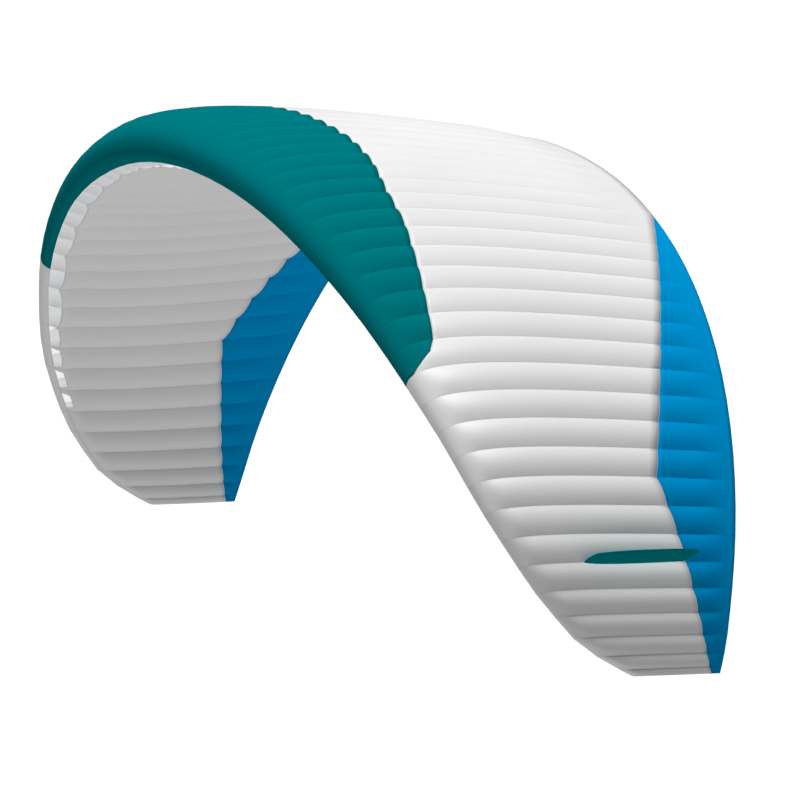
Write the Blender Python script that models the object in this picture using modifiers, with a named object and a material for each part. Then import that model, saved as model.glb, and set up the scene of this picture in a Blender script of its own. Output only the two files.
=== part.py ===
"""Paraglider wing: an arched ram-air canopy of 58 cells with closed, winglet-bearing tips.

Metres, +Z up. X is the span, with +X on the pilot's left, and the nose faces -Y. The origin lies on the
lower skin at the centre rib, 30 % of the chord behind the nose. The canopy is an arc of chordwise ribs
with an upper and a lower skin. Each skin swells between the ribs, and is cut into coloured panels.
"""

import math

import bmesh
import bpy
import numpy as np
from mathutils import Matrix

# Plan form and arc
HALF_FLAT_SPAN = 6.0
CELLS_A_SIDE = 29
HANG_SHARE = 0.30  # chord share of the line that the setback and the arc are measured on
ARC_TILT_DEG = {1: 45.8, 3: 21.3, 5: 16.6}  # tilt = sum of value * share ** power, share 1 at the tip
CELL_NARROWING = {3.33: 0.636, 18: 0.297}  # width falls by the sum of value * share ** power, share 1 at the tip

# share of the half span, chord, setback of the 30 % line behind the centre section's
SECTIONS = (
    (0.00, 2.516, 0.000),
    (0.25, 2.501, 0.045),
    (0.50, 2.312, 0.127),
    (0.70, 1.975, 0.237),
    (0.85, 1.552, 0.382),
    (0.93, 1.188, 0.537),
    (0.97, 0.925, 0.670),
    (1.00, 0.577, 0.865),
)

# Aerofoil, as shares of the chord
UPPER_THICKNESS = 0.179
LOWER_THICKNESS = 0.158
UPPER_NOSE_POWER = 0.81
LOWER_NOSE_POWER = 1.0
LOWER_FLATTENING = 0.34  # share of the lower side's bulge that is taken off behind the nose
LOWER_ROUND_TO, LOWER_FLAT_FROM = 0.03, 0.14
TIP_THINNING = 0.415
TRAILING_HALF_THICKNESS = 0.0023

# Cloth
SHEET = 0.002
SWELL_SHARE, TIP_SWELL_SHARE = 0.10, 0.14  # height of a cell's swelling, as a share of its width
TIP_SWELL_FROM, TIP_SWELL_FULL = 0.84, 0.95  # shares of the half span where the swelling deepens
SWELL_FULL_FROM = 0.09  # chord share behind the nose, or behind the front lip, where the swelling is full
SWELL_FADE_FROM = 0.84  # chord share where the swelling starts to fade towards the trailing edge
SEAM_HALF_GAP = 0.0005
NOSE_SEAM_HALF_GAP = 0.0008
SLANTED_SEAM_HALF_GAP = 0.0013

# Panels: ribs are counted from the tip, 0, to the centre, 29
CENTRE_RIB = CELLS_A_SIDE
UPPER_LIP = 0.030
# rib, chord share on the lower side that the upper skin goes round the nose to
UPPER_LIP_EDGE = ((8, 0.030), (12, 0.024), (17.5, 0.024), (21.5, 0.030))
NOSE_CORNER = 0.012
FIRST_OPEN_RIB = 6
FIRST_WIDE_LOBE_RIB = 10
TEAL_END_RIB = 13
BLUE_END_RIB = 21
BLUE_POINT_RIB = 20.9
# rib, chord share of the blue trailing panels' front edge
BLUE_EDGE = ((0, 0.892), (5, 0.786), (9, 0.692), (21, 1.0))
# rib, chord share of the teal leading panel's rear edge
TEAL_EDGE = (
    (13, 0.012),
    (13.5, 0.084),
    (14, 0.115),
    (15, 0.144),
    (17, 0.197),
    (19, 0.243),
    (21, 0.270),
    (23, 0.310),
    (25, 0.333),
    (27, 0.341),
    (29, 0.344),
)
# Air intakes' rear lip, as chord shares on the lower side
LIP_AT_HELD_RIB = 0.055
LIP_AT_FREE_RIB = 0.0675
LIP_IN_WIDE_LOBE = 0.063
LIP_IN_NARROW_LOBE = 0.062

# Ribs
RIB_CLEARANCE = 0.0028  # from the skins' outer face to the rib's edge
RIB_REAR_END = 0.955

# Winglets
FIN_RIB = 6
FIN_FRONT = 0.28
FIN_REAR = 0.753
FIN_HEIGHT = 0.23
FIN_HALF_THICKNESS = 0.018
FIN_STAND_OFF = 0.0020
FIN_VALLEY_SLOPE = 0.27  # the skin rises this steeply from the seam on both sides of the fin
FIN_SECTION_POINTS = 8
# height share, front share and rear share of the fin's foot length, thickness share
FIN_SECTIONS = (
    (0.00, 0.00, 1.00, 1.00),
    (0.35, 0.01, 1.04, 1.05),
    (0.65, 0.05, 1.07, 0.90),
    (0.84, 0.33, 1.08, 0.60),
    (1.00, 0.74, 1.02, 0.16),
)

WHITE = (0.80, 0.80, 0.80)
TEAL = (0.003, 0.18, 0.215)
BLUE = (0.003, 0.27, 0.62)
RIB_WHITE = (0.70, 0.71, 0.72)

ARC_STEPS = 2400


def smooth_table(column):
    """A smooth curve through one column of SECTIONS, level at the centre."""
    xs = np.array([row[0] for row in SECTIONS])
    ys = np.array([row[column] for row in SECTIONS])
    widths = np.diff(xs)
    slopes = np.diff(ys) / widths
    tangents = np.zeros(len(xs))
    tangents[1:-1] = (slopes[:-1] * widths[1:] + slopes[1:] * widths[:-1]) / (widths[1:] + widths[:-1])
    tangents[-1] = 2 * slopes[-1] - tangents[-2]

    def value(share):
        i = int(np.clip(np.searchsorted(xs, share, side="right") - 1, 0, len(xs) - 2))
        width = widths[i]
        t = (share - xs[i]) / width
        ends = ys[i] * (1 + 2 * t) * (1 - t) ** 2 + ys[i + 1] * t * t * (3 - 2 * t)
        bends = tangents[i] * t * (1 - t) ** 2 - tangents[i + 1] * t * t * (1 - t)
        return float(ends + width * bends)

    return value


chord_at = smooth_table(1)
setback_at = smooth_table(2)


def tilt_at(share):
    return math.radians(sum(angle * share**power for power, angle in ARC_TILT_DEG.items()))


def arc_tables():
    """Running sums of the arc's x and z, from the centre to the tip."""
    middles = (np.arange(ARC_STEPS) + 0.5) / ARC_STEPS
    tilts = np.array([tilt_at(share) for share in middles])
    step = HALF_FLAT_SPAN / ARC_STEPS
    xs = np.concatenate([[0.0], np.cumsum(np.cos(tilts)) * step])
    zs = np.concatenate([[0.0], -np.cumsum(np.sin(tilts)) * step])
    return np.linspace(0, 1, ARC_STEPS + 1), xs, zs


ARC_SHARES, ARC_XS, ARC_ZS = arc_tables()


def rib_share(rib):
    """Share of the half span where a rib stands, with cells that narrow towards the tip."""

    def run(from_centre):
        lost = [fall * from_centre ** (power + 1) / (power + 1) for power, fall in CELL_NARROWING.items()]
        return from_centre - sum(lost)

    return run(1 - rib / CENTRE_RIB) / run(1)


def thickness_form(chord_share, thickness, power):
    """Half thickness of a four-digit aerofoil whose chord share is first raised to a power."""
    s = chord_share**power
    root = math.sqrt(s)
    return 5 * thickness * (0.2969 * root - 0.1260 * s - 0.3516 * s**2 + 0.2843 * s**3 - 0.1036 * s**4)


def smooth_step(value, start, end):
    t = min(1.0, max(0.0, (value - start) / (end - start)))
    return t * t * (3 - 2 * t)


def height_at(station, share):
    """Outer face's height over the chord line, in metres. A station below 0 is on the lower side."""
    chord_share = abs(station)
    thinning = 1 - TIP_THINNING * share**4
    trailing = TRAILING_HALF_THICKNESS * chord_share**4
    if station >= 0:
        form = thickness_form(chord_share, UPPER_THICKNESS, UPPER_NOSE_POWER)
        return form * thinning * chord_at(share) + trailing
    form = thickness_form(chord_share, LOWER_THICKNESS, LOWER_NOSE_POWER)
    form *= 1 - LOWER_FLATTENING * smooth_step(chord_share, LOWER_ROUND_TO, LOWER_FLAT_FROM)
    return -form * thinning * chord_at(share) - trailing


def flat_point(station, share):
    """(chordwise place, height) of an outer point, in the section's own plane."""
    chord = chord_at(share)
    return setback_at(share) + (abs(station) - HANG_SHARE) * chord, height_at(station, share)


def flat_normal(station, share):
    """Outward unit normal in the section's plane."""
    reach = 0.002
    before, after = station - reach, station + reach
    if abs(station) < reach:
        return -1.0, 0.0
    y0, z0 = flat_point(before, share)
    y1, z1 = flat_point(after, share)
    length = math.hypot(y1 - y0, z1 - z0)
    return -(z1 - z0) / length, (y1 - y0) / length


BELLY = -height_at(-HANG_SHARE, 0.0)


def placed(share, chordwise, height):
    """World point of a section's (chordwise place, height) at this share of the half span."""
    tilt = tilt_at(share)
    x = np.interp(share, ARC_SHARES, ARC_XS) + height * math.sin(tilt)
    z = np.interp(share, ARC_SHARES, ARC_ZS) + height * math.cos(tilt) + BELLY
    return np.array([x, chordwise, z])


def swell_fade(station):
    """0 round the nose, 1 over most of the chord, and 0 again at the trailing edge."""
    start = 0.0 if station >= 0 else UPPER_LIP
    rise = smooth_step(abs(station), start, start + SWELL_FULL_FROM)
    return rise * (1 - smooth_step(abs(station), SWELL_FADE_FROM, 1.0))


def swell_at(share):
    return SWELL_SHARE + (TIP_SWELL_SHARE - SWELL_SHARE) * smooth_step(share, TIP_SWELL_FROM, TIP_SWELL_FULL)


def skin_row_point(rib, station):
    """Outer skin point at a rib, or swollen half way between two ribs."""
    lower, upper = math.floor(rib), math.ceil(rib)
    ends = [placed(rib_share(r), *flat_point(station, rib_share(r))) for r in (lower, upper)]
    point = (ends[0] + ends[1]) / 2
    if lower == upper:
        return point
    share = (rib_share(lower) + rib_share(upper)) / 2
    width = abs(rib_share(lower) - rib_share(upper)) * HALF_FLAT_SPAN
    out_y, out_n = flat_normal(station, share)
    tilt = tilt_at(share)
    out = np.array([out_n * math.sin(tilt), out_y, out_n * math.cos(tilt)])
    return point + out * width * swell_at(share) * swell_fade(station)


def skin_point(rib, station):
    """Outer skin point anywhere along the span, on the straight lines between the half-cell rows."""
    before = math.floor(rib * 2 + 1e-6) / 2
    t = (rib - before) * 2
    if t < 1e-6:
        return skin_row_point(before, station)
    return (1 - t) * skin_row_point(before, station) + t * skin_row_point(before + 0.5, station)


def seam_share(rib, half_gap=SEAM_HALF_GAP):
    return half_gap / chord_at(rib_share(rib))


def table_value(table, rib):
    return float(np.interp(rib, [row[0] for row in table], [row[1] for row in table]))


def blue_edge(rib):
    return table_value(BLUE_EDGE, rib) if rib < BLUE_END_RIB else 1.0


def teal_edge(rib):
    return table_value(TEAL_EDGE, rib)


def teal_seam(rib):
    """The teal panel's rear seam crosses one cell on a slant, where it needs a wider gap along the chord."""
    return seam_share(rib, SLANTED_SEAM_HALF_GAP if rib <= TEAL_END_RIB + 1 else SEAM_HALF_GAP)


def main_rear_edge(rib):
    """Rear edge of the white panels: the blue panel's seam, or the trailing edge."""
    return blue_edge(rib) - seam_share(rib) if rib < BLUE_END_RIB else 1.0


def lower_lip(rib):
    """Front edge of the lower skin: the intakes' scalloped rear lip, or a seam where the cells are closed."""
    if rib <= FIRST_OPEN_RIB:
        return UPPER_LIP + seam_share(rib, NOSE_SEAM_HALF_GAP)
    if rib <= FIRST_WIDE_LOBE_RIB:
        return LIP_AT_HELD_RIB if rib == int(rib) else LIP_IN_NARROW_LOBE
    if rib != int(rib):
        return LIP_IN_WIDE_LOBE
    return LIP_AT_FREE_RIB if rib % 2 == 1 else LIP_AT_HELD_RIB


def upper_lip(rib):
    """Where the upper skin ends under the nose: the intakes' front lip, or a seam."""
    if rib <= FIRST_OPEN_RIB:
        return UPPER_LIP - seam_share(rib, NOSE_SEAM_HALF_GAP)
    return table_value(UPPER_LIP_EDGE, rib)


def nose_stations(rib):
    """Stations that carry an upper panel from its lip under the nose up to the nose itself."""
    return [-upper_lip(rib), -0.010, 0.0]


def spread(front, rear, count, power):
    return [front + (rear - front) * (i / count) ** power for i in range(count + 1)]


def teal_stations(rib):
    edge = teal_edge(rib)
    power = 1 + 4 * edge
    return nose_stations(rib)[:-1] + spread(0.0, edge - teal_seam(rib), 5, power)


def upper_main_stations(rib):
    rear = main_rear_edge(rib)
    if rib < TEAL_END_RIB:
        return nose_stations(rib) + spread(NOSE_CORNER, rear, 7, 1.8)
    return spread(teal_edge(rib) + teal_seam(rib), rear, 7, 1.8)


def upper_corner_stations(rib):
    """At the rib where the teal panel ends, the white panel still reaches round the nose."""
    return nose_stations(rib) + spread(NOSE_CORNER, main_rear_edge(rib), 7, 1.8)


def upper_trailing_stations(rib):
    return spread(blue_edge(rib) + seam_share(rib), 1.0, 3, 1.0)


def lower_main_stations(rib):
    lip, rear = lower_lip(rib), main_rear_edge(rib)
    return [-(lip + (rear - lip) * share) for share in (0, 0.09, 0.25, 0.46, 0.72, 1)]


def lower_trailing_stations(rib):
    return [-station for station in spread(blue_edge(rib) + seam_share(rib), 1.0, 2, 1.0)]


def half_cells(first, last):
    return [rib / 2 for rib in range(int(first * 2), int(last * 2) + 1)]


def skin_mesh(name, strips, side):
    """A loft over strips, each a list of (rib, stations) rows. side is 1 on the left and -1 on the right."""
    bm = bmesh.new()
    for strip in strips:
        rows = []
        for rib, stations in strip:
            points = [skin_point(rib, station) for station in stations]
            rows.append([bm.verts.new((side * p[0], p[1], p[2])) for p in points])
        for outer, inner in zip(rows, rows[1:]):
            for i in range(len(outer) - 1):
                corners = (outer[i], outer[i + 1], inner[i + 1], inner[i])
                bm.faces.new(corners if side < 0 else corners[::-1])
    bmesh.ops.remove_doubles(bm, verts=bm.verts, dist=0.00005)
    mesh = bpy.data.meshes.new(name)
    bm.to_mesh(mesh)
    bm.free()
    return mesh


def add_object(name, data, material):
    obj = bpy.data.objects.new(name, data)
    data.materials.append(material)
    wing.objects.link(obj)
    obj.parent = hang_point
    return obj


def add_skin(name, strips, material, side=1, mirrored=False):
    """A sheet of cloth: its outer face as a loft, mirrored where it crosses the centre, then thickened."""
    obj = add_object(name, skin_mesh(name, strips, side), material)
    if mirrored:
        mirror = obj.modifiers.new("other half", "MIRROR")
        mirror.merge_threshold = 0.0001
    sheet = obj.modifiers.new("cloth thickness", "SOLIDIFY")
    sheet.thickness = SHEET
    sheet.offset = -1.0
    sheet.use_even_offset = True
    return obj


def cloth(name, colour, roughness):
    material = bpy.data.materials.new(name)
    material.use_nodes = True
    shader = material.node_tree.nodes["Principled BSDF"]
    shader.inputs["Base Color"].default_value = (*colour, 1.0)
    shader.inputs["Roughness"].default_value = roughness
    shader.inputs["Metallic"].default_value = 0.0
    return material


def offset_outline(points, distance):
    """A closed outline moved inwards by a distance, corner by corner. It runs clockwise."""
    moved = []
    for i, here in enumerate(points):
        before = here - points[i - 1]
        after = points[(i + 1) % len(points)] - here
        normals = [np.array([edge[1], -edge[0]]) / np.hypot(*edge) for edge in (before, after)]
        middle = normals[0] + normals[1]
        moved.append(here + middle * distance / (1 + normals[0] @ normals[1]))
    return moved


def rib_outline(rib):
    """Outline in the rib's plane, from the lip under the nose over the top to the rear end and back below."""
    share = rib_share(rib)
    if rib < TEAL_END_RIB:
        upper = upper_main_stations(rib)
    elif rib == TEAL_END_RIB:
        upper = upper_corner_stations(rib)
    else:
        upper = teal_stations(rib) + upper_main_stations(rib)[1:]
    if rib < BLUE_END_RIB:
        upper += upper_trailing_stations(rib)[1:]
    lower = lower_main_stations(rib)
    if rib < BLUE_END_RIB:
        lower += lower_trailing_stations(rib)[1:]
    if rib <= FIRST_OPEN_RIB:
        lower = lower[1:]

    def kept(stations, end):
        inside = [station for station in stations if abs(station) < RIB_REAR_END - 0.02]
        return [np.array(flat_point(station, share)) for station in inside + [end]]

    return offset_outline(kept(upper, RIB_REAR_END) + kept(lower, -RIB_REAR_END)[::-1], RIB_CLEARANCE)


def add_rib(name, rib, side, material):
    """A flat plate of cloth, cut to the skins' inner outline and stood square to the arc."""
    share = rib_share(rib)
    curve = bpy.data.curves.new(name, "CURVE")
    curve.dimensions = "2D"
    curve.fill_mode = "BOTH"
    curve.extrude = SHEET / 2
    outline = rib_outline(rib)
    spline = curve.splines.new("POLY")
    spline.points.add(len(outline) - 1)
    for point, (chordwise, height) in zip(spline.points, outline):
        point.co = (chordwise, height, 0.0, 1.0)
    spline.use_cyclic_u = True
    obj = add_object(name, curve, material)
    tilt = side * tilt_at(share)
    foot = placed(share, 0.0, 0.0)
    inset = SHEET if rib == 0 else 0.0
    across = np.array([math.cos(tilt), 0.0, -math.sin(tilt)])
    x, y, z = np.array([side * foot[0], foot[1], foot[2]]) - side * across * inset
    chordwise_axis = (0.0, 1.0, 0.0)
    height_axis = (math.sin(tilt), 0.0, math.cos(tilt))
    axes = Matrix((chordwise_axis, height_axis, across)).transposed()
    obj.location = (x, y, z)
    obj.rotation_euler = axes.to_euler()
    return obj


def fin_half_width(t):
    """Half thickness along the fin's foot, as a share of the greatest: round in front, fine behind."""
    return 2.6 * math.sqrt(max(t, 0.0)) * (1 - t) * (1 - 0.35 * t) / 0.8927


def fin_point(length_share, sideways, height, side):
    """A point of a winglet, by its place along the foot, its distance off the rib's plane and its height."""
    share = rib_share(FIN_RIB)
    station = FIN_FRONT + (FIN_REAR - FIN_FRONT) * length_share
    chordwise, skin = flat_point(station, share)
    clear = skin + FIN_STAND_OFF + FIN_VALLEY_SLOPE * abs(sideways) * (1 - height / FIN_HEIGHT)
    x, y, z = placed(share, chordwise, clear + height)
    tilt = tilt_at(share)
    x += sideways * math.cos(tilt)
    z -= sideways * math.sin(tilt)
    return side * x, y, z


def add_fin(name, side, material):
    """A slim inflated winglet, swept back, that stands on the upper skin along one rib."""
    bm = bmesh.new()
    rings = []
    for height_share, front, rear, fullness in FIN_SECTIONS:
        stations = [(1 - math.cos(math.pi * i / FIN_SECTION_POINTS)) / 2 for i in range(FIN_SECTION_POINTS + 1)]
        there = [(t, FIN_HALF_THICKNESS * fullness * fin_half_width(t)) for t in stations]
        back = [(t, -half) for t, half in there[-2:0:-1]]
        ring = []
        for t, sideways in there + back:
            along = front + (rear - front) * t
            ring.append(bm.verts.new(fin_point(along, sideways, FIN_HEIGHT * height_share, side)))
        rings.append(ring)
    for low, high in zip(rings, rings[1:]):
        for i in range(len(low)):
            j = (i + 1) % len(low)
            bm.faces.new((low[i], low[j], high[j], high[i]))
    for ring in (rings[0], rings[-1]):
        half = len(ring) // 2
        for i in range(half):
            corners = (ring[i], ring[i + 1], ring[-i - 1], ring[-i] if i else ring[0])
            distinct = list(dict.fromkeys(corners))
            bm.faces.new(distinct)
    bmesh.ops.recalc_face_normals(bm, faces=bm.faces)
    mesh = bpy.data.meshes.new(name)
    bm.to_mesh(mesh)
    bm.free()
    mesh.shade_smooth()
    return add_object(name, mesh, material)


for old in list(bpy.data.objects):
    bpy.data.objects.remove(old)

wing = bpy.data.collections.new("paraglider_wing")
bpy.context.scene.collection.children.link(wing)
hang_point = bpy.data.objects.new("hang_point", None)
wing.objects.link(hang_point)

white = cloth("white_skin", WHITE, 0.55)
teal = cloth("teal_skin", TEAL, 0.45)
blue = cloth("blue_skin", BLUE, 0.45)
rib_white = cloth("rib_cloth", RIB_WHITE, 0.6)

# Upper skin: white outer part round the nose and white inner part behind the teal panel, in one piece
outer = [(rib, upper_main_stations(rib)) for rib in half_cells(0, TEAL_END_RIB - 0.5)]
outer.append((TEAL_END_RIB, upper_corner_stations(TEAL_END_RIB)))
inner = [(rib, upper_main_stations(rib)) for rib in half_cells(TEAL_END_RIB, CENTRE_RIB)]
inner[0] = (TEAL_END_RIB, spread(NOSE_CORNER, main_rear_edge(TEAL_END_RIB), 7, 1.8))
add_skin("upper_main", [outer, inner], white, mirrored=True)

# Teal leading panel, which ends on a rib's seam with a gap to the white cloth beside it
teal_start = TEAL_END_RIB + 2 * SLANTED_SEAM_HALF_GAP / ((rib_share(TEAL_END_RIB) - rib_share(TEAL_END_RIB + 1)) * HALF_FLAT_SPAN)
teal_rows = [(rib, teal_stations(rib)) for rib in [teal_start] + half_cells(TEAL_END_RIB + 0.5, CENTRE_RIB)]
add_skin("upper_leading", [teal_rows], teal, mirrored=True)

# Lower skin
lower_rows = [(rib, lower_main_stations(rib)) for rib in half_cells(0, CENTRE_RIB)]
lower_rows = [(rib, stations[::-1]) for rib, stations in lower_rows]
add_skin("lower_main", [lower_rows], white, mirrored=True)

# Blue trailing panels, above and below, on each side
blue_ribs = half_cells(0, BLUE_END_RIB - 0.5) + [BLUE_POINT_RIB]
for side, word in ((1, "left"), (-1, "right")):
    above = [(rib, upper_trailing_stations(rib)) for rib in blue_ribs]
    below = [(rib, lower_trailing_stations(rib)[::-1]) for rib in blue_ribs]
    add_skin(f"upper_trailing_{word}", [above], blue, side)
    add_skin(f"lower_trailing_{word}", [below], blue, side)
    add_fin(f"tip_fin_{word}", side, teal)
    add_rib(f"tip_rib_{word}", 0, side, rib_white)
    for rib in range(FIRST_OPEN_RIB, CENTRE_RIB):
        add_rib(f"rib_{word}_{CENTRE_RIB - rib:02d}", rib, side, rib_white)
add_rib("rib_centre", CENTRE_RIB, 1, rib_white)
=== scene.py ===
import math

import bpy
import numpy as np
from mathutils import Matrix, Vector


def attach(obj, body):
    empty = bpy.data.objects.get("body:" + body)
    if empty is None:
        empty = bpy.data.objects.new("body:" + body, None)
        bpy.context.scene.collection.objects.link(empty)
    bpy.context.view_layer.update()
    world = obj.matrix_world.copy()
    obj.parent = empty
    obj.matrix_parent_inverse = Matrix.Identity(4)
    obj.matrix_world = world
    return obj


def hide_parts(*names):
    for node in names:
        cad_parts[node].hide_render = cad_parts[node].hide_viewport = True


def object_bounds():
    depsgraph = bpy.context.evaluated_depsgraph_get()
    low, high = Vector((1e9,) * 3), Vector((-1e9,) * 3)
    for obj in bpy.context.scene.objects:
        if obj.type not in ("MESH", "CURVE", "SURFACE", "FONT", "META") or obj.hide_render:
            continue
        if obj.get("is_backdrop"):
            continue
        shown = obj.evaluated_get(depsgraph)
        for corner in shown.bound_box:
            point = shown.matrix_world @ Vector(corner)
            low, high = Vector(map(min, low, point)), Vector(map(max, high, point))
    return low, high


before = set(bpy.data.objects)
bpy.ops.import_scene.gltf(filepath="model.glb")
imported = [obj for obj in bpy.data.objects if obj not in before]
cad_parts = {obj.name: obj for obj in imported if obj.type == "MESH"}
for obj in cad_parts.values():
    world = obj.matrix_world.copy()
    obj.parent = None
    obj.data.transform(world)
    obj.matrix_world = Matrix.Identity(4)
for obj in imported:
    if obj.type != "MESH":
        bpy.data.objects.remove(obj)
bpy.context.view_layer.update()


# --- Cell ribs -------------------------------------------------------------------------------------
# Flat plates of stiff, coated white cloth, one between each two cells. They are cut to the aerofoil,
# stand square to the arc, and are the pieces that both skins are sewn to.

# lengths are in metres; a chord share is a fraction of the section's own chord
HALF_FLAT_SPAN = 6.0
CENTRE_RIB = 29
# the chord share that lies on the arc
HANG_SHARE = 0.30
# power of the share of the half span: degrees that it turns the arc down at the tip
ARC_TILT_DEG = {1: 45.8, 3: 21.3, 5: 16.6}
# power of the share of the half span: part of its width that a cell has lost at the tip
CELL_NARROWING = {3.33: 0.636, 18: 0.297}

# share of the half span, chord, setback of the 30 % line behind the centre section's
SECTIONS = (
    (0.00, 2.516, 0.000),
    (0.25, 2.501, 0.045),
    (0.50, 2.312, 0.127),
    (0.70, 1.975, 0.237),
    (0.85, 1.552, 0.382),
    (0.93, 1.188, 0.537),
    (0.97, 0.925, 0.670),
    (1.00, 0.577, 0.865),
)

UPPER_THICKNESS = 0.179
LOWER_THICKNESS = 0.158
UPPER_NOSE_POWER = 0.81
LOWER_NOSE_POWER = 1.0
LOWER_FLATTENING = 0.34
LOWER_ROUND_TO, LOWER_FLAT_FROM = 0.03, 0.14
TIP_THINNING = 0.415
TRAILING_HALF_THICKNESS = 0.0023
ARC_STEPS = 4000


def smooth_table(column):
    """A smooth curve through one column of SECTIONS, level at the centre."""
    xs = np.array([row[0] for row in SECTIONS])
    ys = np.array([row[column] for row in SECTIONS])
    widths = np.diff(xs)
    slopes = np.diff(ys) / widths
    tangents = np.zeros(len(xs))
    tangents[1:-1] = (slopes[:-1] * widths[1:] + slopes[1:] * widths[:-1]) / (widths[1:] + widths[:-1])
    tangents[-1] = 2 * slopes[-1] - tangents[-2]

    def value(share):
        i = np.clip(np.searchsorted(xs, share, side="right") - 1, 0, len(xs) - 2)
        width = widths[i]
        t = (share - xs[i]) / width
        ends = ys[i] * (1 + 2 * t) * (1 - t) ** 2 + ys[i + 1] * t * t * (3 - 2 * t)
        return ends + width * (tangents[i] * t * (1 - t) ** 2 - tangents[i + 1] * t * t * (1 - t))

    return value


chord_at = smooth_table(1)
setback_at = smooth_table(2)


def tilt_at(share):
    """How far the arc has turned down, in radians, at a share of the half span."""
    return np.radians(sum(angle * share**power for power, angle in ARC_TILT_DEG.items()))


arc_tilts = tilt_at((np.arange(ARC_STEPS) + 0.5) / ARC_STEPS)
arc_shares = np.linspace(0, 1, ARC_STEPS + 1)
arc_xs = np.concatenate([[0.0], np.cumsum(np.cos(arc_tilts))]) * HALF_FLAT_SPAN / ARC_STEPS
arc_zs = -np.concatenate([[0.0], np.cumsum(np.sin(arc_tilts))]) * HALF_FLAT_SPAN / ARC_STEPS


def rib_share(rib):
    """Share of the half span where a rib stands. Ribs are counted from the tip, 0, to CENTRE_RIB."""

    def run(from_centre):
        lost = [fall * from_centre ** (power + 1) / (power + 1) for power, fall in CELL_NARROWING.items()]
        return from_centre - sum(lost)

    return run(1 - rib / CENTRE_RIB) / run(1.0)


def thickness_form(chord_share, thickness, power):
    """The usual four-digit aerofoil's half thickness, with its nose drawn out by the power."""
    s = chord_share**power
    return 5 * thickness * (0.2969 * np.sqrt(s) - 0.1260 * s - 0.3516 * s**2 + 0.2843 * s**3 - 0.1036 * s**4)


def smooth_step(value, start, end):
    t = np.clip((value - start) / (end - start), 0, 1)
    return t * t * (3 - 2 * t)


def flat_point(station, share):
    """(chordwise place, height) of the outer face. A station is a chord share, below 0 on the lower side."""
    chord = chord_at(share)
    chord_share = np.abs(station)
    upper = thickness_form(chord_share, UPPER_THICKNESS, UPPER_NOSE_POWER)
    lower = -thickness_form(chord_share, LOWER_THICKNESS, LOWER_NOSE_POWER)
    lower *= 1 - LOWER_FLATTENING * smooth_step(chord_share, LOWER_ROUND_TO, LOWER_FLAT_FROM)
    trailing = np.sign(station) * TRAILING_HALF_THICKNESS * chord_share**4
    height = np.where(station >= 0, upper, lower) * (1 - TIP_THINNING * share**4) * chord + trailing
    return setback_at(share) + (chord_share - HANG_SHARE) * chord, height


BELLY = -float(flat_point(np.array(-HANG_SHARE), 0.0)[1])


def placed(share, chordwise, height):
    """Points of the section at a share of the half span, on the left side."""
    tilt = tilt_at(share)
    x = np.interp(share, arc_shares, arc_xs) + height * np.sin(tilt)
    z = np.interp(share, arc_shares, arc_zs) + height * np.cos(tilt) + BELLY
    return np.stack(np.broadcast_arrays(x, chordwise, z), axis=-1)


def rooted(first, last, count):
    """Chord shares from first to last, set closer together round the nose."""
    roots = np.linspace(np.sign(first) * abs(first) ** 0.5, np.sign(last) * abs(last) ** 0.5, count + 1)
    return roots * np.abs(roots)


def value_node(tree, operation, *inputs):
    """A math node fed with numbers or other nodes' outputs."""
    node = tree.nodes.new("ShaderNodeMath")
    node.operation = operation
    for socket, value in zip(node.inputs, inputs):
        if isinstance(value, (int, float)):
            socket.default_value = value
        else:
            tree.links.new(value, socket)
    return node.outputs[0]


def faded(tree, value, full_at, gone_at):
    """1 where the value is below full_at, falling softly to 0 at gone_at."""
    node = tree.nodes.new("ShaderNodeMapRange")
    node.interpolation_type = "SMOOTHSTEP"
    node.inputs["From Min"].default_value = full_at
    node.inputs["From Max"].default_value = gone_at
    node.inputs["To Min"].default_value = 1.0
    node.inputs["To Max"].default_value = 0.0
    tree.links.new(value, node.inputs["Value"])
    return node.outputs["Result"]


def uv_pair(tree, name):
    """A mesh's coordinates of that name, whole and as their two numbers."""
    uv = tree.nodes.new("ShaderNodeUVMap")
    uv.uv_map = name
    split = tree.nodes.new("ShaderNodeSeparateXYZ")
    tree.links.new(uv.outputs["UV"], split.inputs["Vector"])
    return uv.outputs["UV"], split.outputs["X"], split.outputs["Y"]


RIPSTOP_PITCH = 0.005
RIPSTOP_THREAD = 0.0005
RIPSTOP_THREAD_HEIGHT = 0.00006
THREADS_LIGHTER = 0.05
SEAM_ALLOWANCE = 0.010
ALLOWANCE_FADES_FROM = 0.85
ALLOWANCE_DARKER = 0.04
STITCH_ROW = 0.0032
STITCH_FADES_FROM, STITCH_FADES_TO = 0.0003, 0.0007
STITCH_LENGTH = 0.004
# shares of a stitch's length, from its middle, over which it dips into the cloth
STITCH_END_FROM, STITCH_END_TO = 0.28, 0.38
STITCH_DEPTH = 0.0003
STITCHES_DARKER = 0.16
PUCKER_REACH = 0.045
PUCKER_DEPTH = 0.0010
PUCKERS_PER_METRE = (9.0, 55.0, 1.0)
PUCKER_DETAIL = 2.0
RELIEF_STRENGTH = 0.6
TONE_SCALE, TONE_DETAIL = 1.3, 3.0
TONE_RANGE = 0.05
ROUGHNESS_RANGE = 0.10


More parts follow.
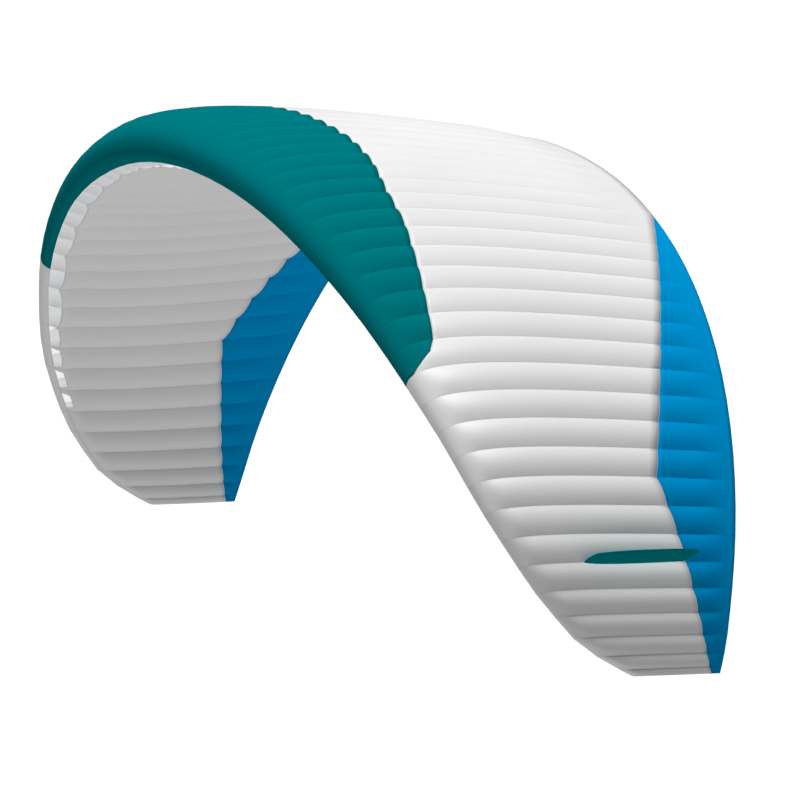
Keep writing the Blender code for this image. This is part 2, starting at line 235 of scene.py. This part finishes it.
def ripstop(name, colour, roughness, painted_glow=0.0, specular=0.25):
    """Coated ripstop nylon: a fine grid of thicker threads, stitched seams with their allowance showing
    through, puckers beside the stitches, a little unevenness in tone, and, where asked, a painted glow."""
    material = bpy.data.materials.new(name)
    material.use_nodes = True
    tree = material.node_tree
    shader = tree.nodes["Principled BSDF"]
    cloth, across, along = uv_pair(tree, "cloth")
    _, from_rib, from_edge = uv_pair(tree, "seams")

    thread_a = faded(tree, value_node(tree, "PINGPONG", across, RIPSTOP_PITCH / 2), 0.0, RIPSTOP_THREAD)
    thread_b = faded(tree, value_node(tree, "PINGPONG", along, RIPSTOP_PITCH / 2), 0.0, RIPSTOP_THREAD)
    threads = value_node(tree, "MAXIMUM", thread_a, thread_b)

    seam = value_node(tree, "MINIMUM", from_rib, from_edge)
    allowance = faded(tree, seam, SEAM_ALLOWANCE * ALLOWANCE_FADES_FROM, SEAM_ALLOWANCE)
    off_row = value_node(tree, "ABSOLUTE", value_node(tree, "SUBTRACT", seam, STITCH_ROW))
    row = faded(tree, off_row, STITCH_FADES_FROM, STITCH_FADES_TO)
    off_middle = value_node(tree, "PINGPONG", value_node(tree, "ADD", across, along), STITCH_LENGTH / 2)
    dashes = faded(tree, off_middle, STITCH_LENGTH * STITCH_END_FROM, STITCH_LENGTH * STITCH_END_TO)
    stitches = value_node(tree, "MULTIPLY", row, dashes)

    where = tree.nodes.new("ShaderNodeTexCoord").outputs["Object"]
    tone = tree.nodes.new("ShaderNodeTexNoise")
    tone.inputs["Scale"].default_value = TONE_SCALE
    tone.inputs["Detail"].default_value = TONE_DETAIL
    tree.links.new(where, tone.inputs["Vector"])

    shade = value_node(tree, "MULTIPLY", allowance, -ALLOWANCE_DARKER)
    shade = value_node(tree, "ADD", shade, value_node(tree, "MULTIPLY", threads, THREADS_LIGHTER))
    shade = value_node(tree, "ADD", shade, value_node(tree, "MULTIPLY", stitches, -STITCHES_DARKER))
    off_mean = value_node(tree, "SUBTRACT", tone.outputs["Fac"], 0.5)
    uneven = value_node(tree, "MULTIPLY", off_mean, TONE_RANGE)
    bright = value_node(tree, "ADD", value_node(tree, "ADD", shade, uneven), 1.0)
    paint = tree.nodes.new("ShaderNodeMix")
    paint.data_type = "RGBA"
    paint.blend_type = "MULTIPLY"
    paint.inputs["Factor"].default_value = 1.0
    paint.inputs["A"].default_value = (*colour, 1.0)
    grey = tree.nodes.new("ShaderNodeCombineColor")
    for channel in grey.inputs:
        tree.links.new(bright, channel)
    tree.links.new(grey.outputs["Color"], paint.inputs["B"])
    tree.links.new(paint.outputs["Result"], shader.inputs["Base Color"])

    stretch = tree.nodes.new("ShaderNodeMapping")
    stretch.inputs["Scale"].default_value = PUCKERS_PER_METRE
    tree.links.new(cloth, stretch.inputs["Vector"])
    pucker = tree.nodes.new("ShaderNodeTexNoise")
    pucker.inputs["Scale"].default_value = 1.0
    pucker.inputs["Detail"].default_value = PUCKER_DETAIL
    tree.links.new(stretch.outputs["Vector"], pucker.inputs["Vector"])
    near_seam = faded(tree, seam, 0.0, PUCKER_REACH)
    gathered = value_node(tree, "MULTIPLY", pucker.outputs["Fac"], near_seam)
    puckers = value_node(tree, "MULTIPLY", gathered, PUCKER_DEPTH)
    relief = value_node(tree, "ADD", puckers, value_node(tree, "MULTIPLY", threads, RIPSTOP_THREAD_HEIGHT))
    relief = value_node(tree, "ADD", relief, value_node(tree, "MULTIPLY", stitches, -STITCH_DEPTH))
    bump = tree.nodes.new("ShaderNodeBump")
    bump.inputs["Strength"].default_value = RELIEF_STRENGTH
    bump.inputs["Distance"].default_value = 1.0
    tree.links.new(relief, bump.inputs["Height"])
    tree.links.new(bump.outputs["Normal"], shader.inputs["Normal"])

    rough = value_node(tree, "MULTIPLY", tone.outputs["Fac"], ROUGHNESS_RANGE)
    rough = value_node(tree, "ADD", rough, roughness - ROUGHNESS_RANGE / 2)
    tree.links.new(rough, shader.inputs["Roughness"])
    shader.inputs["Specular IOR Level"].default_value = specular
    if painted_glow:
        # painted light: the cloth glows of itself, standing in for the light that comes through such thin
        # cloth
        shader.inputs["Emission Color"].default_value = (1.0, 1.0, 1.0, 1.0)
        shader.inputs["Emission Strength"].default_value = painted_glow
    return material


RIB_CLOTH = 0.001
RIB_CLEARANCE = 0.0024
RIB_REAR_END = 0.955
RIB_EDGE_POINTS = 44
UPPER_LIP = 0.030
# rib, chord share of the intakes' front lip
UPPER_LIP_EDGE = ((8, 0.030), (12, 0.024), (17.5, 0.024), (21.5, 0.030))
FIRST_OPEN_RIB = 6
FIRST_WIDE_LOBE_RIB = 10
LIP_AT_HELD_RIB = 0.055
LIP_IN_WIDE_LOBE = 0.0685
LIP_IN_NARROW_LOBE = 0.063
LIP_SEAM = 0.0008
NARROW_LOBE_ARCH = 0.010
WIDE_LOBE_POWER = 0.7
# cells counted from the tip: share of the cell's width that its intake takes
NARROW_INTAKES = {6: 0.62, 7: 0.76, 8: 0.86, 9: 0.93}
# shares of the cell's width: how far a narrow intake's side runs out, and over what width it slants
INTAKE_RUN_OUT, INTAKE_SLANT = 0.03, 0.08
# where the lower edge of a closed rib starts, as a multiple of the lip's chord share
CLOSED_RIB_START = 1.02
# limits how far the clearance carries a sharp corner of the outline
LEAST_CORNER = 0.3
# the ribs' cloth counts as this near to a seam all over
RIB_FROM_SEAM = 0.004

# painted light: the ribs' cloth is given a faint painted glow
rib_cloth = ripstop("rib_cloth", (0.78, 0.79, 0.80), 0.6, painted_glow=0.10)


def upper_lip(rib):
    """Chord share, on the lower side, of the intakes' front lip."""
    return float(np.interp(rib, *zip(*UPPER_LIP_EDGE)))


def lower_lip(rib):
    """Front edge of the lower skin: closed near the tips, then single windows, then lobes two cells wide."""
    cell = min(int(rib), CENTRE_RIB - 1)
    closed = upper_lip(rib) + LIP_SEAM / chord_at(rib_share(rib))
    if rib <= FIRST_OPEN_RIB:
        return closed
    if rib < FIRST_WIDE_LOBE_RIB:
        off_centre = abs(rib - cell - 0.5)
        window = smooth_step(NARROW_INTAKES[cell] / 2 + INTAKE_RUN_OUT - off_centre, 0.0, INTAKE_SLANT)
        return closed + (LIP_IN_NARROW_LOBE - NARROW_LOBE_ARCH * off_centre - closed) * window
    lobe = (rib - FIRST_WIDE_LOBE_RIB) / 2 % 1.0
    arch = (4 * lobe * (1 - lobe)) ** WIDE_LOBE_POWER
    return LIP_AT_HELD_RIB + (LIP_IN_WIDE_LOBE - LIP_AT_HELD_RIB) * arch


def rib_outline(rib):
    """Clockwise outline in the rib's plane, from the lip under the nose over the top and back below."""
    share = rib_share(rib)
    front = lower_lip(rib) if rib > FIRST_OPEN_RIB else upper_lip(rib) * CLOSED_RIB_START
    over = rooted(-upper_lip(rib), RIB_REAR_END, RIB_EDGE_POINTS)
    under = rooted(-RIB_REAR_END, -front, RIB_EDGE_POINTS)
    outline = np.stack(flat_point(np.concatenate([over, under]), share), axis=-1)
    before = outline - np.roll(outline, 1, axis=0)
    after = np.roll(outline, -1, axis=0) - outline
    outward = [
        np.stack([-edge[:, 1], edge[:, 0]], axis=-1) / np.hypot(*edge.T)[:, None] for edge in (before, after)
    ]
    corner = 1 + (outward[0] * outward[1]).sum(axis=1)
    return outline - (outward[0] + outward[1]) * RIB_CLEARANCE / np.maximum(corner, LEAST_CORNER)[:, None]


def cloth_mesh(name, points, faces, cloth_uv, seam_uv, creases=()):
    """A smooth-shaded mesh with the cloth's own coordinates and its distances from the seams, in metres.
    An edge is sharp where both its points carry the same crease number; -1 stands for no crease."""
    mesh = bpy.data.meshes.new(name)
    mesh.from_pydata(points.tolist(), [], faces)
    corner_vertices = np.zeros(len(mesh.loops), dtype=np.int32)
    mesh.loops.foreach_get("vertex_index", corner_vertices)
    for layer_name, values in (("cloth", cloth_uv), ("seams", seam_uv)):
        layer = mesh.uv_layers.new(name=layer_name)
        layer.data.foreach_set("uv", values[corner_vertices].astype(np.float32).ravel())
    mesh.shade_smooth()
    if len(creases):
        ends = np.zeros(len(mesh.edges) * 2, dtype=np.int32)
        mesh.edges.foreach_get("vertices", ends)
        ends = ends.reshape(-1, 2)
        on_crease = np.asarray(creases)
        sharp = (on_crease[ends[:, 0]] >= 0) & (on_crease[ends[:, 0]] == on_crease[ends[:, 1]])
        mesh.attributes.new("sharp_edge", "BOOLEAN", "EDGE").data.foreach_set("value", sharp)
    mesh.update()
    return mesh


def sew_in(name, mesh, materials, nodes, thickness):
    """Puts a piece of cloth in the scene, gives it its thickness, and fixes it to the wing. The ribs
    nearest the tips stand for no solid."""
    piece = bpy.data.objects.new(name, mesh)
    for material in materials:
        mesh.materials.append(material)
    bpy.context.scene.collection.objects.link(piece)
    sheet = piece.modifiers.new("cloth thickness", "SOLIDIFY")
    sheet.thickness = thickness
    sheet.offset = -1.0
    sheet.use_even_offset = True
    sheet.material_offset = len(materials) - 1
    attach(piece, "root")
    present = [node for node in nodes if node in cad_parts]
    if present:
        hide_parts(*present)
    return piece


def rib_name(rib, side):
    if rib == CENTRE_RIB:
        return "rib_centre"
    word = "left" if side > 0 else "right"
    return f"tip_rib_{word}" if rib == 0 else f"rib_{word}_{CENTRE_RIB - rib:02d}"


for side in (1, -1):
    for rib in range(CENTRE_RIB + 1):
        if rib == CENTRE_RIB and side < 0:
            continue
        name = rib_name(rib, side)
        outline = rib_outline(rib)
        points = placed(rib_share(rib), outline[:, 0], outline[:, 1])
        tilt = tilt_at(rib_share(rib))
        inset = RIB_CLEARANCE if rib == 0 else -RIB_CLOTH / 2
        points = points - np.array([math.cos(tilt), 0.0, -math.sin(tilt)]) * inset
        points[:, 0] *= side
        order = list(range(len(points)))
        gaps = np.full((len(points), 2), RIB_FROM_SEAM)
        mesh = cloth_mesh(f"{name}_cloth", points, [order[::side]], outline, gaps)
        piece = sew_in(f"sewn_{name}", mesh, [rib_cloth], [name], RIB_CLOTH)


# --- Lower skin ------------------------------------------------------------------------------------
# White ripstop nylon, sewn to the ribs strip by strip. Its front edge is the air intakes' rear lip,
# hemmed in lobes. A blue panel is let in along the trailing edge of each half.

SWELL_SHARE, TIP_SWELL_SHARE = 0.10, 0.14
TIP_SWELL_FROM, TIP_SWELL_FULL = 0.84, 0.95
SWELL_FULL_FROM = 0.09
SWELL_FADE_FROM = 0.84
SKIN_CLOTH = 0.0012
PANEL_SEAM = 0.0006
BLUE_END_RIB = 21
BLUE_POINT_RIB = 20.94
# rib, chord share of the blue trailing panels' front edge
BLUE_EDGE = ((0, 0.892), (5, 0.786), (9, 0.692), (21, 1.0))
FINE_ROWS, INTAKE_ROWS = 10, 24
MAIN_STATIONS, TRAILING_STATIONS = 38, 17
# rib numbers closer than this are one row
SAME_ROW = 1e-6

white_outside = ripstop("white_outside", (0.80, 0.80, 0.80), 0.42, specular=0.30)
# painted light: the inner face of the white cloth has a darker colour and a strong painted glow, so the
# insides of the cells look evenly lit
white_inside_painted_glow = ripstop("white_inside_painted_glow", (0.50, 0.505, 0.51), 0.6, painted_glow=0.50)
blue_outside = ripstop("blue_outside", (0.0, 0.272, 0.61), 0.6, specular=0.0)


def swell_fade(station):
    """0 round the nose, 1 over most of the chord, and 0 again at the trailing edge."""
    start = np.where(station >= 0, 0.0, UPPER_LIP)
    rise = smooth_step(np.abs(station), start, start + SWELL_FULL_FROM)
    return rise * (1 - smooth_step(np.abs(station), SWELL_FADE_FROM, 1.0))


def flat_normal(station, share):
    """Outward unit normal in the section's plane."""
    reach = 0.001
    y0, z0 = flat_point(station - reach, share)
    y1, z1 = flat_point(station + reach, share)
    straddles = np.abs(station) < reach
    out_y = np.where(straddles, -1.0, -(z1 - z0))
    out_n = np.where(straddles, 0.0, y1 - y0)
    length = np.hypot(out_y, out_n)
    return out_y / length, out_n / length


def skin_points(rib, stations):
    """Outer face of the left half along one row. Cloth spans straight from rib to rib, and swells."""
    low = min(int(rib), CENTRE_RIB - 1)
    t = rib - low
    shares = rib_share(low), rib_share(low + 1)
    ends = [placed(share, *flat_point(stations, share)) for share in shares]
    middle = (shares[0] + shares[1]) / 2
    out_y, out_n = flat_normal(stations, middle)
    tilt = tilt_at(middle)
    out = np.stack([out_n * math.sin(tilt), out_y, out_n * math.cos(tilt)], axis=-1)
    width = (shares[0] - shares[1]) * HALF_FLAT_SPAN
    deepened = smooth_step(middle, TIP_SWELL_FROM, TIP_SWELL_FULL)
    height = SWELL_SHARE + (TIP_SWELL_SHARE - SWELL_SHARE) * deepened
    swell = width * height * 4 * t * (1 - t) * swell_fade(stations)
    return (1 - t) * ends[0] + t * ends[1] + out * swell[:, None]


def rows_between(first, last, rows_in_cell):
    """Rib numbers of the rows, from first to last, with a row on every rib."""
    rows = [float(first)]
    for cell in range(int(first), math.ceil(last)):
        count = rows_in_cell(cell)
        steps = [cell + (i + 1) / count for i in range(count)]
        rows += [step for step in steps if rows[-1] + SAME_ROW < step < last - SAME_ROW]
    return rows + [float(last)]


def panel(name, patches, materials, nodes):
    """Sews one panel from its patches. A patch is its rows, each a (side, rib), the function that gives
    a row's chord shares, and whether its faces keep the rows' order so as to look outward."""
    points, cloth_uv, seam_uv, creases, faces = [], [], [], [], []
    count = 0
    area = depth = 0.0
    for rows, stations_at, kept_order in patches:
        grid = []
        for side, rib in rows:
            stations = stations_at(rib)
            share = rib_share(rib)
            chord = float(chord_at(share))
            row = skin_points(rib, stations) * np.array([side, 1.0, 1.0])
            low = min(int(rib), CENTRE_RIB - 1)
            width = (rib_share(low) - rib_share(low + 1)) * HALF_FLAT_SPAN
            off_rib = min(rib - low, low + 1 - rib) * width
            off_edge = np.minimum(np.abs(stations - stations[0]), np.abs(stations[-1] - stations)) * chord
            depth = max(depth, abs(float(stations[-1] - stations[0])) * chord)
            grid.append(row)
            points.append(row)
            spanwise = np.full(len(stations), side * share * HALF_FLAT_SPAN)
            cloth_uv.append(np.stack([spanwise, stations * chord], 1))
            seam_uv.append(np.stack([np.full(len(stations), off_rib), off_edge], 1))
            crease = 2 * round(rib) + (side < 0) if abs(rib - round(rib)) < SAME_ROW else -1
            creases += [crease] * len(stations)
        grid = np.array(grid)
        high, wide = grid.shape[:2]
        index = count + np.arange(high * wide).reshape(high, wide)
        corners = index[:-1, :-1], index[:-1, 1:], index[1:, 1:], index[1:, :-1]
        quads = np.stack(corners, axis=-1).reshape(-1, 4)
        faces.append(quads if kept_order else quads[:, ::-1])
        diagonals = grid[1:, 1:] - grid[:-1, :-1], grid[1:, :-1] - grid[:-1, 1:]
        area += float(np.linalg.norm(np.cross(*diagonals), axis=-1).sum() / 2)
        count += high * wide
    mesh = cloth_mesh(
        f"{name}_cloth", np.concatenate(points), np.concatenate(faces).tolist(),
        np.concatenate(cloth_uv), np.concatenate(seam_uv), creases,
    )
    piece = sew_in(name, mesh, materials, nodes, SKIN_CLOTH)
    spans = [side * rib_share(rib) * HALF_FLAT_SPAN for rows, _, _ in patches for side, rib in rows]
    return piece


def seam_share(rib):
    """Chord share of the gap that a seam between two panels leaves on either side."""
    return PANEL_SEAM / float(chord_at(rib_share(rib)))


def blue_edge(rib):
    return float(np.interp(rib, *zip(*BLUE_EDGE)))


def main_rear_edge(rib):
    return blue_edge(rib) - seam_share(rib) if rib < BLUE_END_RIB else 1.0


def both_halves(rows):
    """The same rows in both halves, from the right end over the centre to the left end."""
    return [(-1, rib) for rib in rows] + [(1, rib) for rib in rows[-2::-1]]


lower_rows = rows_between(0, CENTRE_RIB, lambda cell: INTAKE_ROWS if cell in NARROW_INTAKES else FINE_ROWS)
panel(
    "lower_skin_white",
    [(both_halves(lower_rows),
      lambda rib: -rooted(lower_lip(rib), main_rear_edge(rib), MAIN_STATIONS), True)],
    [white_outside, white_inside_painted_glow], ["lower_main"],
)
trailing_rows = rows_between(0, BLUE_POINT_RIB, lambda cell: FINE_ROWS)
for side, word in ((1, "left"), (-1, "right")):
    panel(
        f"lower_skin_blue_{word}",
        [([(side, rib) for rib in trailing_rows],
          lambda rib: -np.linspace(blue_edge(rib) + seam_share(rib), 1.0, TRAILING_STATIONS), side < 0)],
        [blue_outside, white_inside_painted_glow], [f"lower_trailing_{word}"],
    )


# --- Upper skin ------------------------------------------------------------------------------------
# The teal leading panel is one piece across the centre. It goes round the nose to the intakes' front lip
# and ends on a rib, with its corner cut on a slant. The rest is white, with a blue panel in each tip.

TEAL_END_RIB = 13
NOSE_CORNER = 0.012
# how far the teal panel stops short of its end rib, in cells
TEAL_END_GAP = 0.004
TEAL_STATIONS, NOSE_STATIONS = 34, 12
# rib, chord share of the teal leading panel's rear edge
TEAL_EDGE = (
    (13, 0.012),
    (13.5, 0.084),
    (14, 0.115),
    (15, 0.144),
    (17, 0.197),
    (19, 0.243),
    (21, 0.270),
    (23, 0.310),
    (25, 0.333),
    (27, 0.341),
    (29, 0.344),
)

teal_outside = ripstop("teal_outside", (0.0, 0.167, 0.189), 0.6, specular=0.0)


def teal_edge(rib):
    return float(np.interp(rib, *zip(*TEAL_EDGE)))


def white_inner_stations(rib):
    front = teal_edge(rib) + seam_share(rib) if rib > TEAL_END_RIB else NOSE_CORNER
    return rooted(front, main_rear_edge(rib), MAIN_STATIONS)


def white_outer_stations(rib):
    round_nose = rooted(-upper_lip(rib), NOSE_CORNER, NOSE_STATIONS)
    return np.concatenate([round_nose[:-1], rooted(NOSE_CORNER, main_rear_edge(rib), MAIN_STATIONS)])


inner_rows = rows_between(TEAL_END_RIB, CENTRE_RIB, lambda cell: FINE_ROWS)
outer_rows = rows_between(0, TEAL_END_RIB, lambda cell: FINE_ROWS)
panel(
    "upper_skin_white",
    [
        (both_halves(inner_rows), white_inner_stations, False),
        ([(1, rib) for rib in outer_rows], white_outer_stations, True),
        ([(-1, rib) for rib in outer_rows], white_outer_stations, False),
    ],
    [white_outside, white_inside_painted_glow], ["upper_main"],
)
teal_rows = rows_between(TEAL_END_RIB + TEAL_END_GAP, CENTRE_RIB, lambda cell: FINE_ROWS)
panel(
    "upper_skin_teal",
    [(both_halves(teal_rows),
      lambda rib: rooted(-upper_lip(rib), teal_edge(rib) - seam_share(rib), TEAL_STATIONS), False)],
    [teal_outside, white_inside_painted_glow], ["upper_leading"],
)
for side, word in ((1, "left"), (-1, "right")):
    panel(
        f"upper_skin_blue_{word}",
        [([(side, rib) for rib in trailing_rows],
          lambda rib: np.linspace(blue_edge(rib) + seam_share(rib), 1.0, TRAILING_STATIONS), side > 0)],
        [blue_outside, white_inside_painted_glow], [f"upper_trailing_{word}"],
    )


# --- Winglets --------------------------------------------------------------------------------------
# A slim fin of teal cloth stands on the upper skin along the sixth rib in from each tip rib. It is sewn
# from two faces, swept back, and kept full by air let in from the cell below.

FIN_RIB = 6
FIN_FRONT = 0.28
FIN_REAR = 0.753
FIN_HEIGHT = 0.23
FIN_HALF_THICKNESS = 0.018
FIN_STAND_OFF = 0.0020
FIN_VALLEY_SLOPE = 0.27
FIN_ROUND_POINTS = 22
FIN_LAYERS = 16
# the thickness curve along the fin, and its greatest value, which brings it to 1
FIN_CURVE, FIN_REAR_THINNING = 2.6, 0.35
FIN_CURVE_PEAK = 0.8927
FIN_FROM_SEAM = 0.05
# height share, front share and rear share of the fin's foot length, thickness share
FIN_SECTIONS = (
    (0.00, 0.00, 1.00, 1.00),
    (0.35, 0.01, 1.04, 1.05),
    (0.65, 0.05, 1.07, 0.90),
    (0.84, 0.33, 1.08, 0.60),
    (1.00, 0.74, 1.02, 0.16),
)

share = rib_share(FIN_RIB)
tilt = tilt_at(share)
turn = (1 - np.cos(np.pi * np.arange(FIN_ROUND_POINTS + 1) / FIN_ROUND_POINTS)) / 2
half = FIN_CURVE * np.sqrt(turn) * (1 - turn) * (1 - FIN_REAR_THINNING * turn) / FIN_CURVE_PEAK
ring_along = np.concatenate([turn, turn[-2:0:-1]])
ring_half = np.concatenate([half, -half[-2:0:-1]])
around = len(ring_along)
section_heights, *section_columns = zip(*FIN_SECTIONS)

for side, word in ((1, "left"), (-1, "right")):
    points, uvs = [], []
    for layer in range(FIN_LAYERS + 1):
        height_share = layer / FIN_LAYERS
        front, rear, fullness = (
            float(np.interp(height_share, section_heights, column)) for column in section_columns
        )
        along = front + (rear - front) * ring_along
        sideways = FIN_HALF_THICKNESS * fullness * ring_half
        chordwise, skin = flat_point(FIN_FRONT + (FIN_REAR - FIN_FRONT) * along, share)
        clear = skin + FIN_STAND_OFF + FIN_VALLEY_SLOPE * np.abs(sideways) * (1 - height_share)
        ring = placed(share, chordwise, clear + FIN_HEIGHT * height_share)
        ring += np.outer(sideways, [math.cos(tilt), 0.0, -math.sin(tilt)])
        points.append(ring * np.array([side, 1.0, 1.0]))
        uvs.append(np.stack([chordwise, np.full(len(ring), FIN_HEIGHT * height_share)], 1))
    faces = []
    for layer in range(FIN_LAYERS):
        low, high = layer * around, (layer + 1) * around
        for i in range(around):
            j = (i + 1) % around
            faces.append([low + i, low + j, high + j, high + i])
    faces.append(list(range(around))[::-1])
    faces.append([FIN_LAYERS * around + i for i in range(around)])
    if side > 0:
        faces = [face[::-1] for face in faces]
    uvs = np.concatenate(uvs)
    gaps = np.full_like(uvs, FIN_FROM_SEAM)
    mesh = cloth_mesh(f"winglet_{word}_cloth", np.concatenate(points), faces, uvs, gaps)
    piece = bpy.data.objects.new(f"winglet_{word}", mesh)
    mesh.materials.append(teal_outside)
    bpy.context.scene.collection.objects.link(piece)
    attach(piece, "root")
    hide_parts(f"tip_fin_{word}")
    # under the broad light so slim a fin leaves no shadow to be seen on the skin
    piece.visible_shadow = False


# --- Studio ----------------------------------------------------------------------------------------
# A pale floor well below the wing, a broad soft light overhead, even light all round, and a camera a long
# way off on the wing's left, a little above it.

FLOOR_DROP = 2.4
FLOOR_SIZE = 600.0
FLOOR_COLOUR = (0.92, 0.92, 0.92, 1.0)
FLOOR_ROUGHNESS = 0.9
FLOOR_BOUNCE = 0.60
OVERHEAD_LIGHT = 3.75
OVERHEAD_LIGHT_FROM = (-0.10, -0.15, 1.0)
OVERHEAD_LIGHT_WIDTH_DEG = 40
CROWN_LIGHT = 430.0
CROWN_LIGHT_PLACE = (0.5, 1.3, 8.0)
CROWN_LIGHT_CONE_DEG = 37
CROWN_LIGHT_RADIUS = 0.8
ROOM_LIGHT = 0.012
STUDIO_WHITE = (1.0, 1.0, 1.0, 1.0)
CAMERA_SENSOR = 36.0
CAMERA_NEAR, CAMERA_FAR = 1.0, 700.0
CAMERA_LENS = 1650.0
CAMERA_AZIMUTH = 71.187
CAMERA_ELEVATION = 6.561
CAMERA_ROLL = 0.0054
CAMERA_DISTANCE = 233.09
CAMERA_TARGET = (-0.0433, 0.7890, -1.4932)


def shown_and_lighting(tree, shown, lighting, output):
    """Shows one shader to the camera, and lets the other one light the scene."""
    ray = tree.nodes.new("ShaderNodeLightPath")
    either = tree.nodes.new("ShaderNodeMixShader")
    tree.links.new(ray.outputs["Is Camera Ray"], either.inputs["Fac"])
    tree.links.new(lighting, either.inputs[1])
    tree.links.new(shown, either.inputs[2])
    tree.links.new(either.outputs["Shader"], tree.nodes[output].inputs["Surface"])


wing_low, wing_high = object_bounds()
bpy.ops.mesh.primitive_plane_add(size=FLOOR_SIZE, location=(0.0, 0.0, wing_low[2] - FLOOR_DROP))
floor = bpy.context.object
floor.name = "studio_floor"
pale = bpy.data.materials.new("pale_floor")
pale.use_nodes = True
tree = pale.node_tree
paint = tree.nodes["Principled BSDF"]
paint.inputs["Base Color"].default_value = FLOOR_COLOUR
paint.inputs["Roughness"].default_value = FLOOR_ROUGHNESS
paint.inputs["Specular IOR Level"].default_value = 0.0
bounce = tree.nodes.new("ShaderNodeEmission")
bounce.inputs["Strength"].default_value = FLOOR_BOUNCE
shown_and_lighting(tree, paint.outputs["BSDF"], bounce.outputs["Emission"], "Material Output")
floor.data.materials.append(pale)
floor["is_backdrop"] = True

sun = bpy.data.lights.new("overhead_softbox", "SUN")
sun.energy = OVERHEAD_LIGHT
sun.angle = math.radians(OVERHEAD_LIGHT_WIDTH_DEG)
sun_object = bpy.data.objects.new("overhead_softbox", sun)
sun_object.rotation_euler = Vector(OVERHEAD_LIGHT_FROM).to_track_quat("Z", "Y").to_euler()
bpy.context.scene.collection.objects.link(sun_object)

spot = bpy.data.lights.new("crown_light", "SPOT")
spot.energy = CROWN_LIGHT
spot.spot_size = math.radians(CROWN_LIGHT_CONE_DEG)
spot.spot_blend = 1.0
spot.shadow_soft_size = CROWN_LIGHT_RADIUS
spot_object = bpy.data.objects.new("crown_light", spot)
spot_object.location = CROWN_LIGHT_PLACE
bpy.context.scene.collection.objects.link(spot_object)

world = bpy.data.worlds.new("studio_air")
bpy.context.scene.world = world
world.use_nodes = True
tree = world.node_tree
even = tree.nodes["Background"]
even.inputs["Color"].default_value = STUDIO_WHITE
even.inputs["Strength"].default_value = ROOM_LIGHT
backdrop = tree.nodes.new("ShaderNodeBackground")
backdrop.inputs["Color"].default_value = STUDIO_WHITE
backdrop.inputs["Strength"].default_value = 1.0
shown_and_lighting(tree, backdrop.outputs["Background"], even.outputs["Background"], "World Output")

azimuth, elevation = math.radians(CAMERA_AZIMUTH), math.radians(CAMERA_ELEVATION)
back = Vector((
    math.sin(azimuth) * math.cos(elevation),
    -math.cos(azimuth) * math.cos(elevation),
    math.sin(elevation),
))
camera_data = bpy.data.cameras.new("camera")
camera_data.lens = CAMERA_LENS
camera_data.sensor_width = CAMERA_SENSOR
camera_data.clip_start = CAMERA_NEAR
camera_data.clip_end = CAMERA_FAR
camera = bpy.data.objects.new("camera", camera_data)
camera.rotation_mode = "QUATERNION"
roll = Matrix.Rotation(CAMERA_ROLL, 3, "Z").to_quaternion()
camera.rotation_quaternion = (-back).to_track_quat("-Z", "Y") @ roll
camera.location = Vector(CAMERA_TARGET) + back * CAMERA_DISTANCE
bpy.context.scene.collection.objects.link(camera)
bpy.context.scene.camera = camera
bpy.context.scene.view_settings.view_transform = "Standard"

wing_low, wing_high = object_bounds()
